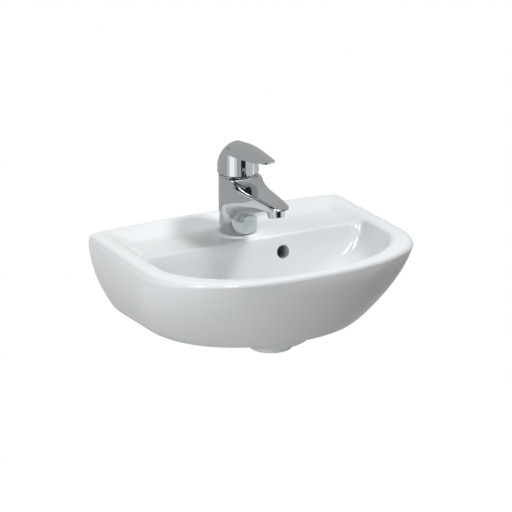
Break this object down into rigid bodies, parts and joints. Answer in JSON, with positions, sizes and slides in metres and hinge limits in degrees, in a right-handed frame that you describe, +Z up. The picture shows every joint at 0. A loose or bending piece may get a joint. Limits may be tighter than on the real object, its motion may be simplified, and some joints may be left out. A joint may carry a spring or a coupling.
{
  "type": "hand basin",
  "caption": "Small wall-hung hand basin in white glazed china with an overflow, fitted with a chrome single-lever tap whose lever lifts for flow and turns for heat.",
  "frame": {"origin": "on the wall face, midway between the two wall fixing holes", "axes": "+X to the user's right, +Y into the wall, +Z up; the bowl stands out along -Y"},
  "size_m": [0.4003, 0.2981, 0.2681],
  "materials": {
    "glazed_china": "white gloss glaze over vitreous china",
    "chrome": "polished chrome plate",
    "brass": "turned, unplated",
    "steel": "plain stainless steel",
    "disc_ceramic": "lapped alumina",
    "cartridge_plastic": "moulded, satin",
    "white_plastic": "moulded mesh",
    "plug_plastic": "moulded, smooth grey",
    "black_rubber": "moulded, dull"
  },
  "bodies": {
    "base": {"basin_china": "glazed_china", "tap_body": "chrome", "tap_base_gasket": "black_rubber", "cartridge_base": "cartridge_plastic", "cartridge_seals": "black_rubber", "fixed_disc": "disc_ceramic", "cartridge_housing": "cartridge_plastic", "cartridge_nut": "brass", "cartridge_cap": "chrome", "aerator_housing": "chrome", "aerator_insert": "white_plastic", "aerator_washer": "black_rubber", "fixing_stud": "brass", "fixing_washer": "black_rubber", "fixing_plate": "steel", "fixing_nut": "brass"},
    "rotor": {"cartridge_rotor": "cartridge_plastic", "stem_pivot_pin": "steel"},
    "lever": {"cartridge_stem": "brass", "lever_handle": "chrome", "lever_grub_screw": "steel", "screw_plug": "plug_plastic"},
    "disc": {"moving_disc": "disc_ceramic", "disc_carrier": "cartridge_plastic"}
  },
  "joints": [
    {"name": "lever_turn", "type": "hinge", "parent": "base", "child": "rotor", "pos_m": [0, -0.065, 0.1245], "axis": [0, 0, 1], "range_deg": [-45, 45]},
    {"name": "lever_tilt", "type": "hinge", "parent": "rotor", "child": "lever", "pos_m": [0, -0.065, 0.1245], "axis": [-1, 0, 0], "range_deg": [0, 22]},
    {"name": "disc_slide", "type": "slide", "parent": "rotor", "child": "disc", "axis": [0, -1, 0], "range_m": [0, 0.00691]}
  ],
  "couplings": [
    {"joint": "disc_slide", "follows": "lever_tilt", "m_per_rad": 0.018}
  ]
}
